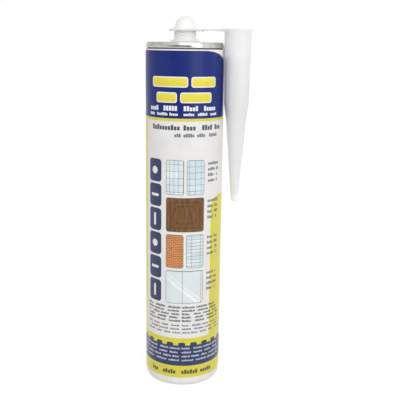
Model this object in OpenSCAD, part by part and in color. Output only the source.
// Sealant cartridge: board tube with a seamed metal end, a closed plastic neck
// and a spare nozzle that hangs from the neck on its strap.
// Millimetres. The tube's axis is Z, its foot stands on Z = 0 and the nozzle hangs on the +X side.

/* [Board tube] */
// Height from the foot to the top of the metal seam
body_l = 224.1; // [150:0.1:300]
// Outside diameter of the board tube, without the label
tube_od = 49.4; // [44:0.1:60]
// Thickness of the wound board
board_t = 1.4; // [1:0.1:2.2]
// Outside radius of the rolled-in foot
foot_roll_r = 3.9; // [3:0.1:6]
// Depth of the flat pressed under the rolled foot
foot_flat = 0.1; // [0.05:0.05:0.3]

/* [Metal end] */
// Thickness of the sheet metal
end_t = 0.3; // [0.2:0.05:0.5]
// Height of the seam that shows as a rim
seam_h = 3.6; // [3:0.1:5]
// Outside radius of the folds of the seam
seam_fold_r = 0.9; // [0.7:0.05:0.95]
// Thickness of the sealing compound above the board's edge
gasket_t = 0.5; // [0.3:0.1:1]
// Depth of the countersink groove below the top of the seam
groove_depth = 4.3; // [3.5:0.1:6]
// Outside radius of the bottom of the groove
groove_r = 0.9; // [0.7:0.05:1.2]
// Height of the flat panel above the bottom of the groove
panel_rise = 1.9; // [1.5:0.1:3]
// Radius of the stiffening bead's centre line
bead_ring_r = 16; // [14:0.5:18]
// Outside radius of the bead's round section
bead_r = 1.1; // [0.8:0.1:1.4]

/* [Neck] */
// Radius of the neck at the root of its thread
neck_r = 6.9; // [6:0.1:8]
// Height of the neck's tip above the top of the seam
neck_rise = 16; // [13:0.1:20]
// Radius of the domed tip
dome_r = 6.35; // [5:0.05:6.6]
// Radius of the boss at the root of the neck
boss_r = 9.35; // [8.6:0.05:10.5]
// Height of the boss above the top of the seam
boss_rise = 0.3; // [0:0.1:2]
// Radius of the hollow in the neck
channel_r = 4.6; // [3.5:0.1:4.8]
// Thickness of the dome that is cut off before use
dome_t = 1.2; // [0.8:0.1:2]
// Overhang of the flange inside the metal end
flange_in_over = 3.2; // [2:0.1:3.6]
// Thickness of the flange inside the metal end
flange_in_t = 1; // [0.8:0.1:1.4]
// Overhang of the bead that locks the neck to the panel from outside
lock_over = 0.9; // [0.5:0.1:1.5]
// Height of the locking bead
lock_h = 1; // [0.8:0.1:1.5]
// Gap between the neck and the hole of the panel
panel_gap = 0.1; // [0.05:0.05:0.2]

/* [Nozzle] */
// Length of the nozzle from its flange to its closed tip
nozzle_l = 109.6; // [90:0.1:130]
// Radius of the barrel under the flange
barrel_r = 8.4; // [8.3:0.1:10]
// Radius of the barrel below its collar
barrel_mid_r = 8; // [7.7:0.1:8.3]
// Radius of the barrel at its lower end
barrel_low_r = 7.75; // [7.4:0.05:8.2]
// Radius where the long taper begins
taper_r = 6.4; // [5.8:0.05:7]
// Radius at the closed tip
tip_r = 2.4; // [2:0.1:3.5]
// Length of the collar at the top of the barrel
collar_l = 17.5; // [14:0.5:20]
// Length of the barrel, with its collar
barrel_l = 46; // [40:0.5:55]
// Length of the shoulder between barrel and taper
shoulder_l = 10; // [6:0.5:14]
// Wall thickness of the nozzle
nozzle_t = 1.1; // [0.8:0.1:1.3]
// Thickness of the plastic at the closed tip
tip_t = 2.2; // [1.5:0.1:4]
// Depth of the socket that takes the neck's thread
socket_l = 12; // [9:0.5:14]
// Gap between the socket and the crest of the neck's thread
socket_gap = 0.05; // [0.05:0.05:0.3]
// Height of the thread on the neck
thread_h = 0.5; // [0.3:0.05:0.6]
// Overhang of the flange round the barrel
flange_over = 1.3; // [1:0.1:2]
// Thickness of the nozzle's flange
flange_t = 1; // [0.8:0.1:2]
// Gap between the hanging barrel and the metal seam
hang_gap = 0.2; // [0.15:0.05:2]
// Turn of the hanging nozzle round the tube at rest, from +X towards the front, in degrees
hang_turn = 10; // [-180:1:180]

/* [Ring and strap] */
// Height of the ring's top face above the top of the seam
ring_rise = 8.4; // [6:0.1:8.8]
// Outside radius of the ring
ring_or = 10.8; // [9.5:0.1:12]
// Thickness of ring and strap
strap_t = 1.6; // [1.2:0.1:2]
// Width of the strap
strap_w = 7.5; // [5:0.5:10]
// Running gap between ring and neck
ring_gap = 0.08; // [0.05:0.01:0.1]
// Distance of the tear line from the edge of the ring
tear_off = 1.2; // [0.4:0.1:3]
// Width of the tear line
tear_w = 2; // [1:0.1:2.5]
// Thickness that is left at the tear line
tear_t = 0.7; // [0.5:0.1:1]
// Cut into each side of the strap at the tear line
tear_in = 1.4; // [0.5:0.1:2]

/* [Plunger and paste] */
// Height of the plunger's rear edge above the foot, before any paste is pressed out
plunger_in = 26.5; // [8:0.5:60]
// Gap between the paste and what closes the tube above and below it
fill_gap = 0.3; // [0.2:0.1:0.5]
// Running gap between the plunger's lips and the tube
plunger_gap = 0.08; // [0.05:0.01:0.1]
// Height of the plunger
plunger_h = 16; // [12:0.5:22]
// Thickness of the plunger's crown
crown_t = 1.8; // [1.2:0.1:3]
// Thickness of the plunger's skirt
skirt_t = 1.4; // [1:0.1:2]
// Relief of the skirt between the two lips
skirt_relief = 0.8; // [0.4:0.1:1.2]
// Height of each wiper lip
lip_h = 2.2; // [1.5:0.1:3]
// Outside radius of the plunger's hub
hub_r = 6; // [4:0.5:10]
// Number of ribs from hub to skirt
rib_count = 8; // [4:1:12]
// Thickness of a rib
rib_t = 1.2; // [0.8:0.1:2]
// Height of a rib below the crown
rib_h = 7; // [4:0.5:9]

/* [Label] */
// Thickness of the label
label_t = 0.25; // [0.2:0.05:0.4]
// Depth of the coloured areas, which lie flush in the label
ink_t = 0.15; // [0.05:0.01:0.17]
// Thickness of the glue between label and board
glue_t = 0.05; // [0.05:0.01:0.1]
// Bare board between label and seam
board_reveal = 0.7; // [0.5:0.1:2]
// Height of the label's lower edge above the foot
label_foot = 6.5; // [4.5:0.1:8]
// Width of the unprinted strip along the glued edge
seam_strip = 7; // [4:0.5:12]
// Distance from the front centre line to the right edge of the print
print_right = 38.5; // [36:0.5:44]
// White margin above the header
header_margin = 0.8; // [0.5:0.1:2]
// Height of the header
header_h = 40.8; // [30:0.1:50]
// Radius of the header's upper right corner
header_r = 22; // [10:0.5:24]
// Height of the rule under the header
rule_h = 1.8; // [1.5:0.1:4]
// Width of the border between the front panel and the back panel
border_w = 8; // [3:0.5:9]
// Distance from the front centre line to the left edge of the front panel
panel_left = 29; // [26:0.5:30]
// Distance from the front centre line to the right edge of the front panel
panel_right = 33.3; // [30:0.1:34]
// Width of the narrow borders
edge_w = 1.2; // [0.6:0.2:3]
// Height of the lower field at the foot
foot_field_h = 8.3; // [5:0.1:10]
// Height of the dark band near the foot
foot_band_h = 14.4; // [10:0.1:18]
// Height of the upper field at the foot
foot_rule_h = 5.1; // [3:0.1:6]

/* [Label shapes] */
// Height of each headline bar
bar_h = 6.4; // [4:0.2:8]
// Length of the longer headline bar
bar_l = 44; // [30:1:50]
// Difference in length of the two headline bars
bar_step = 7; // [0:0.5:10]
// Gap between the headline bars
bar_space = 3; // [2:0.5:5]
// Distance from the top of the header to the first bar
bar_drop = 15.5; // [12:0.5:18]
// Width of the upright stripe
stripe_w = 11; // [6:0.5:12]
// Distance from the front centre line to the stripe's right edge
stripe_off = 14.5; // [14:0.5:16]
// Distance from the upper field at the foot to the swatch field
swatch_rise = 24; // [10:0.5:30]
// Distance from the rule to the swatch field
swatch_drop = 24; // [16:0.5:28]
// Distance from the front centre line to the swatches' left edge
swatch_left = 11; // [9:0.5:12]
// Width of the swatch field
swatch_w = 25; // [18:0.5:27]
// Gap between swatches
swatch_gap = 1.8; // [1:0.1:3]
// Corner radius of a swatch
swatch_r = 1.5; // [0.5:0.1:3]
// Width of the column that rises on the right of the front panel
column_w = 19; // [12:0.5:21]
// Distance from the rule to the top of that column
column_drop = 48; // [30:1:80]
// Radius of the column's upper corner
column_r = 8; // [3:0.5:8]

/* [Hidden] */
$fn = 96;
cut = 1;
round_over = 1.03;
header_over = 1.01;
tube_or = tube_od / 2;
tube_ir = tube_or - board_t;
foot_cx = tube_or - foot_roll_r;
foot_cz = foot_roll_r - foot_flat;
label_ir = tube_or + glue_t;
label_or = label_ir + label_t;
ink_ir = label_or - ink_t;
seam_or = label_or;
seam_ir = tube_ir - end_t;
board_top = body_l - end_t - gasket_t;
skirt_z = body_l - seam_h;
label_top = skirt_z - board_reveal;
groove_z = body_l - groove_depth;
groove_cx = tube_ir - groove_r;
groove_cz = groove_z + groove_r;
panel_z = groove_z + panel_rise;
panel_hole_r = boss_r + panel_gap;
neck_top = body_l + neck_rise;
boss_top = body_l + boss_rise;
boss_fillet = boss_r - neck_r;
flange_in_r = boss_r + flange_in_over;
lock_r = boss_r + lock_over;
ring_top = body_l + ring_rise;
dome_z = neck_top - dome_r;
nozzle_x = seam_or + barrel_r + hang_gap;
socket_r = neck_r + thread_h + socket_gap;
flange_r = barrel_r + flange_over;
tip_z = -nozzle_l;
ring_ir = neck_r + ring_gap;
tear_x = ring_or + tear_off;
fill_top = groove_z - fill_gap;
fill_r = tube_ir - glue_t;
fill_z = plunger_in + plunger_h + fill_gap;
lip_r = tube_ir - plunger_gap;
skirt_r = lip_r - skirt_relief;
header_top = label_top - header_margin;
header_z = header_top - header_h;
rule_z = header_z - rule_h;
foot_field_z = label_foot + foot_field_h;
foot_band_z = foot_field_z + foot_band_h;
foot_rule_z = foot_band_z + foot_rule_h;
print_left = print_right + seam_strip - 2 * PI * label_or;
swatch_top = rule_z - swatch_drop;
swatch_h = swatch_top - foot_rule_z - swatch_rise;
swatch_row = (swatch_h - 3 * swatch_gap) / 4;
swatch_half = (swatch_w - swatch_gap) / 2;

// Angle of a distance measured round the label from the front centre line
function turn(s) = s / label_or * 180 / PI - 90;

// Height of the underside of a swatch row, counted from the top
function row_z(i) = swatch_top - (i + 1) * swatch_row - i * swatch_gap;

// Rectangle with its two upper corners rounded
module arch(x0, x1, z0, z1, r) {
    translate([x0, z0]) square([x1 - x0, z1 - r - z0]);
    translate([x0 + r, z0]) square([x1 - x0 - 2 * r, z1 - z0]);
    translate([x0 + r, z1 - r]) circle(r = r);
    translate([x1 - r, z1 - r]) circle(r = r);
}

// Part of a round band, from radius r - t to r, that lies in one quadrant
module quarter_band(x, z, r, t, sx, sz) {
    translate([x, z]) intersection() {
        difference() {
            circle(r = r);
            circle(r = r - t);
        }
        translate([sx > 0 ? 0 : -r, sz > 0 ? 0 : -r]) square([r, r]);
    }
}

// Area of print between two distances round the label and two heights; over stands proud of it
module patch(s0, s1, z0, z1, over) {
    rotate([0, 0, turn(s0)])
        rotate_extrude(angle = turn(s1) - turn(s0))
            translate([ink_ir - over, z0]) square([ink_t + 2 * over, z1 - z0]);
}

// What rounds off one corner of a patch; sx and sz point from the corner into the patch.
// The round stands a little over both edges, so that it meets them at a slight angle.
module corner_cut(s, z, sx, sz, r) {
    rotate([0, 0, turn(s)]) translate([0, 0, z]) difference() {
        translate([ink_ir - 3 * cut, sx > 0 ? -cut : -r, sz > 0 ? -cut : -r])
            cube([ink_t + 6 * cut, r + cut, r + cut]);
        translate([0, sx * r, sz * r]) rotate([0, 90, 0])
            cylinder(r = r * round_over, h = label_or + 3 * cut);
    }
}

// Patch with rounded corners: r0 on the lower two, r1 on the upper two
module field(s0, s1, z0, z1, r0, r1, over) {
    difference() {
        patch(s0, s1, z0, z1, over);
        if (r0 > 0) corner_cut(s0, z0, 1, 1, r0);
        if (r0 > 0) corner_cut(s1, z0, -1, 1, r0);
        if (r1 > 0) corner_cut(s0, z1, 1, -1, r1);
        if (r1 > 0) corner_cut(s1, z1, -1, -1, r1);
    }
}

// Headline bars, centred on the front; the second one is shorter
module headline(over) {
    for (i = [0, 1]) {
        half = (bar_l - i * bar_step) / 2;
        z = header_top - bar_drop - (i + 1) * bar_h - i * bar_space;
        field(-half, half, z, z + bar_h, bar_h / 4, bar_h / 4, over);
    }
}

// The print from a height up to the header's top, with its upper right corner rounded
module print_area(z0, over) {
    difference() {
        patch(print_left, print_right, z0, header_top, over);
        rotate([0, 0, turn(print_right - header_r)]) translate([0, 0, header_top - header_r])
            difference() {
                translate([label_or / 4, 0, 0]) cube([label_or, header_r + cut, header_r + cut]);
                rotate([0, 90, 0]) cylinder(r = header_r * header_over, h = 2 * label_or);
            }
    }
}

// Front panel and the start of the side panel, with the column taken out of their lower corner
module front_panel(over) {
    difference() {
        union() {
            patch(-panel_left, panel_right, foot_rule_z, rule_z, over);
            patch(panel_right + edge_w, print_right, foot_rule_z, rule_z, over);
        }
        field(print_right - column_w, print_right + column_r + cut, foot_rule_z - cut,
              rule_z - column_drop, 0, column_r, 2 * cut);
    }
}

module back_panel(over) {
    patch(print_left + edge_w, -panel_left - border_w, foot_rule_z, rule_z, over);
}

// Upright stripe on the left of the front panel
module stripe(over) {
    field(-stripe_off - stripe_w, -stripe_off, swatch_top - swatch_h, swatch_top,
          stripe_w / 3, stripe_w / 3, over);
}

module swatch(s, w, row, over) {
    field(s, s + w, row_z(row), row_z(row) + swatch_row, swatch_r, swatch_r, over);
}

module brown_fields(over) {
    swatch(-swatch_left, swatch_w, 1, over);
}

module orange_fields(over) {
    swatch(-swatch_left, swatch_half, 2, over);
}

module pale_fields(over) {
    swatch(-swatch_left, swatch_half, 0, over);
    swatch(-swatch_left + swatch_half + swatch_gap, swatch_half, 0, over);
    swatch(-swatch_left + swatch_half + swatch_gap, swatch_half, 2, over);
    swatch(-swatch_left, swatch_w, 3, over);
}

// Wound board, rolled in at the foot and thinned where the metal end grips it
module tube_body() {
    color("#ece9e4") rotate_extrude() {
        translate([tube_ir, foot_cz]) square([board_t, label_top - foot_cz]);
        translate([tube_ir, foot_cz]) square([seam_or - end_t - tube_ir, board_top - foot_cz]);
        intersection() {
            quarter_band(foot_cx, foot_cz, foot_roll_r, board_t, 1, -1);
            square([tube_or, foot_cz]);
        }
    }
}

// Paper sleeve, with one shallow recess that the colours fill
module label() {
    color("#f1f0ee") difference() {
        rotate_extrude()
            translate([label_ir, label_foot]) square([label_t, label_top - label_foot]);
        difference() {
            print_area(label_foot, cut);
            translate([0, 0, label_foot - cut]) cylinder(r = ink_ir, h = body_l);
        }
    }
}

module print_panel() {
    color("#ebe9e6") {
        difference() {
            front_panel(0);
            stripe(cut);
            brown_fields(cut);
            orange_fields(cut);
            pale_fields(cut);
        }
        back_panel(0);
    }
}

module print_blue() {
    color("#1d3478") difference() {
        print_area(header_z, 0);
        headline(cut);
    }
}

module print_yellow() {
    color("#ddd34e") {
        difference() {
            patch(print_left, print_right, foot_band_z, header_z, 0);
            front_panel(cut);
            back_panel(cut);
        }
        headline(0);
        patch(print_left, print_right, label_foot, foot_field_z, 0);
    }
}

module print_navy() {
    color("#364264") {
        patch(print_left, print_right, foot_field_z, foot_band_z, 0);
        stripe(0);
    }
}

module print_brown() {
    color("#6e4a25") brown_fields(0);
}

module print_orange() {
    color("#c4752f") orange_fields(0);
}

module print_pale() {
    color("#c9dde3") pale_fields(0);
}

// Room inside the fold of the seam, for the board's edge and the compound above it
module seam_room() {
    arch(tube_ir, seam_or - end_t, skirt_z - cut, body_l - end_t, seam_fold_r - end_t);
}

// Pressed sheet: seam, chuck wall, countersink groove, panel with bead and centre hole
module top_end() {
    bead_cut = bead_r - end_t;
    color("silver") rotate_extrude() {
        difference() {
            arch(seam_ir, seam_or, skirt_z, body_l, seam_fold_r);
            seam_room();
            translate([0, skirt_z - cut]) square([tube_ir, groove_cz + cut - skirt_z]);
        }
        translate([seam_ir, groove_cz]) square([end_t, body_l - seam_fold_r - groove_cz]);
        quarter_band(groove_cx, groove_cz, groove_r, end_t, 1, -1);
        quarter_band(groove_cx, groove_cz, groove_r, end_t, -1, -1);
        translate([groove_cx - groove_r, groove_cz]) square([end_t, panel_z - groove_cz]);
        difference() {
            translate([panel_hole_r, panel_z - end_t])
                square([groove_cx - groove_r + end_t - panel_hole_r, end_t]);
            translate([bead_ring_r - bead_cut, panel_z - 2 * end_t]) square([2 * bead_cut, end_t * 3]);
        }
        quarter_band(bead_ring_r, panel_z - end_t, bead_r, end_t, 1, 1);
        quarter_band(bead_ring_r, panel_z - end_t, bead_r, end_t, -1, 1);
    }
}

module seam_gasket() {
    color("#7d7f7a") rotate_extrude() intersection() {
        seam_room();
        translate([0, board_top]) square([seam_or, body_l - board_top]);
    }
}

// Point where the neck's taper meets the round of the dome
function dome_meet() =
    let (start_z = ring_top + strap_t / 4,
         reach = norm([neck_r, start_z - dome_z]),
         a = atan2(start_z - dome_z, neck_r) + acos(dome_r / reach))
    [dome_r * cos(a), dome_z + dome_r * sin(a)];

// Moulded outlet: flange and locking bead hold the panel, neck and dome stand above it
module neck() {
    root_z = boss_top + boss_fillet;
    start_z = ring_top + strap_t / 4;
    meet = dome_meet();
    color("#f2f3f0") rotate_extrude() difference() {
        union() {
            translate([0, panel_z - end_t - flange_in_t]) square([flange_in_r, flange_in_t]);
            translate([0, panel_z - end_t]) square([boss_r, boss_top - panel_z + end_t]);
            translate([0, panel_z]) square([lock_r, lock_h]);
            difference() {
                translate([0, boss_top]) square([boss_r, boss_fillet]);
                translate([boss_r, root_z]) circle(r = boss_fillet);
            }
            translate([0, root_z]) square([neck_r, start_z - root_z]);
            polygon([[0, start_z], [neck_r, start_z], meet, [0, meet[1]]]);
            intersection() {
                translate([0, dome_z]) circle(r = dome_r);
                translate([0, start_z]) square([dome_r, neck_top - start_z]);
            }
        }
        translate([0, panel_z - end_t - flange_in_t - cut])
            square([channel_r, dome_z - panel_z + end_t + flange_in_t + cut]);
        intersection() {
            translate([0, dome_z]) circle(r = min(channel_r, dome_r - dome_t));
            translate([0, dome_z - cut]) square([channel_r, dome_r + cut]);
        }
    }
}

// Half section of the nozzle, with its flange's top face at height 0
module nozzle_half() {
    inner = [barrel_mid_r, barrel_low_r, taper_r, tip_r] - [1, 1, 1, 1] * nozzle_t;
    tip_in = tip_z + tip_r + tip_t;
    difference() {
        union() {
            polygon([[0, 0], [barrel_r, 0], [barrel_r, -barrel_r], [barrel_mid_r, -collar_l],
                     [barrel_low_r, -barrel_l], [taper_r, -barrel_l - shoulder_l],
                     [tip_r, tip_z + tip_r], [0, tip_z + tip_r]]);
            translate([0, -flange_t]) square([flange_r, flange_t]);
            difference() {
                translate([0, -flange_t - flange_over]) square([flange_r, flange_over]);
                translate([flange_r, -flange_t - flange_over]) circle(r = flange_over);
            }
            intersection() {
                translate([0, tip_z + tip_r]) circle(r = tip_r);
                translate([0, tip_z]) square([tip_r, tip_r]);
            }
        }
        translate([0, -socket_l]) square([socket_r, socket_l + cut]);
        polygon([[0, -socket_l], [inner[0], -socket_l], [inner[0], -collar_l],
                 [inner[1], -barrel_l], [inner[2], -barrel_l - shoulder_l],
                 [inner[3], tip_in], [0, tip_in]]);
    }
}

// One moulding: ring, strap with its tear line, and the nozzle that hangs from it
module nozzle() {
    strap_end = nozzle_x - barrel_r;
    color("#f4f5f2") rotate([0, 0, -hang_turn]) translate([0, 0, ring_top]) {
        difference() {
            union() {
                translate([0, 0, -strap_t]) cylinder(r = ring_or, h = strap_t);
                translate([0, -strap_w / 2, -strap_t]) cube([strap_end, strap_w, strap_t]);
            }
            translate([0, 0, -strap_t - cut]) cylinder(r = ring_ir, h = strap_t + 2 * cut);
            translate([tear_x, -strap_w / 2 - cut, -strap_t - cut])
                cube([tear_w, strap_w + 2 * cut, strap_t - tear_t + cut]);
            for (side = [-1, 1])
                translate([tear_x + tear_w / 2, side * strap_w / 2, -strap_t - cut])
                    cylinder(r = tear_in, h = strap_t + 2 * cut, $fn = 48);
        }
        translate([nozzle_x, 0, 0]) rotate_extrude() nozzle_half();
    }
}

// Cup that is open to the rear, with wiper lips, a hub and ribs under its crown
module plunger() {
    crown_z = plunger_h - crown_t;
    color("#dfe3e2") translate([0, 0, plunger_in]) {
        rotate_extrude() {
            translate([0, crown_z]) square([skirt_r, crown_t]);
            translate([skirt_r - skirt_t, 0]) square([skirt_t, plunger_h]);
            translate([skirt_r - skirt_t, 0])
                polygon([[0, 0], [lip_r - skirt_r + skirt_t, 0],
                         [lip_r - skirt_r + skirt_t, lip_h / 2], [skirt_t, lip_h], [0, lip_h]]);
            translate([skirt_r - skirt_t, plunger_h - lip_h])
                polygon([[0, 0], [skirt_t, 0], [lip_r - skirt_r + skirt_t, lip_h / 2],
                         [lip_r - skirt_r + skirt_t, lip_h], [0, lip_h]]);
            translate([hub_r - skirt_t, crown_z - rib_h]) square([skirt_t, rib_h]);
        }
        for (i = [0 : rib_count - 1])
            rotate([0, 0, i * 360 / rib_count])
                translate([hub_r - skirt_t / 2, -rib_t / 2, crown_z - rib_h])
                    cube([skirt_r - hub_r, rib_t, rib_h]);
    }
}

module sealant_fill() {
    color("#e6e2d8") translate([0, 0, fill_z]) cylinder(r = fill_r, h = fill_top - fill_z);
}

tube_body();
label();
print_panel();
print_blue();
print_yellow();
print_navy();
print_brown();
print_orange();
print_pale();
top_end();
seam_gasket();
neck();
nozzle();
plunger();
sealant_fill();
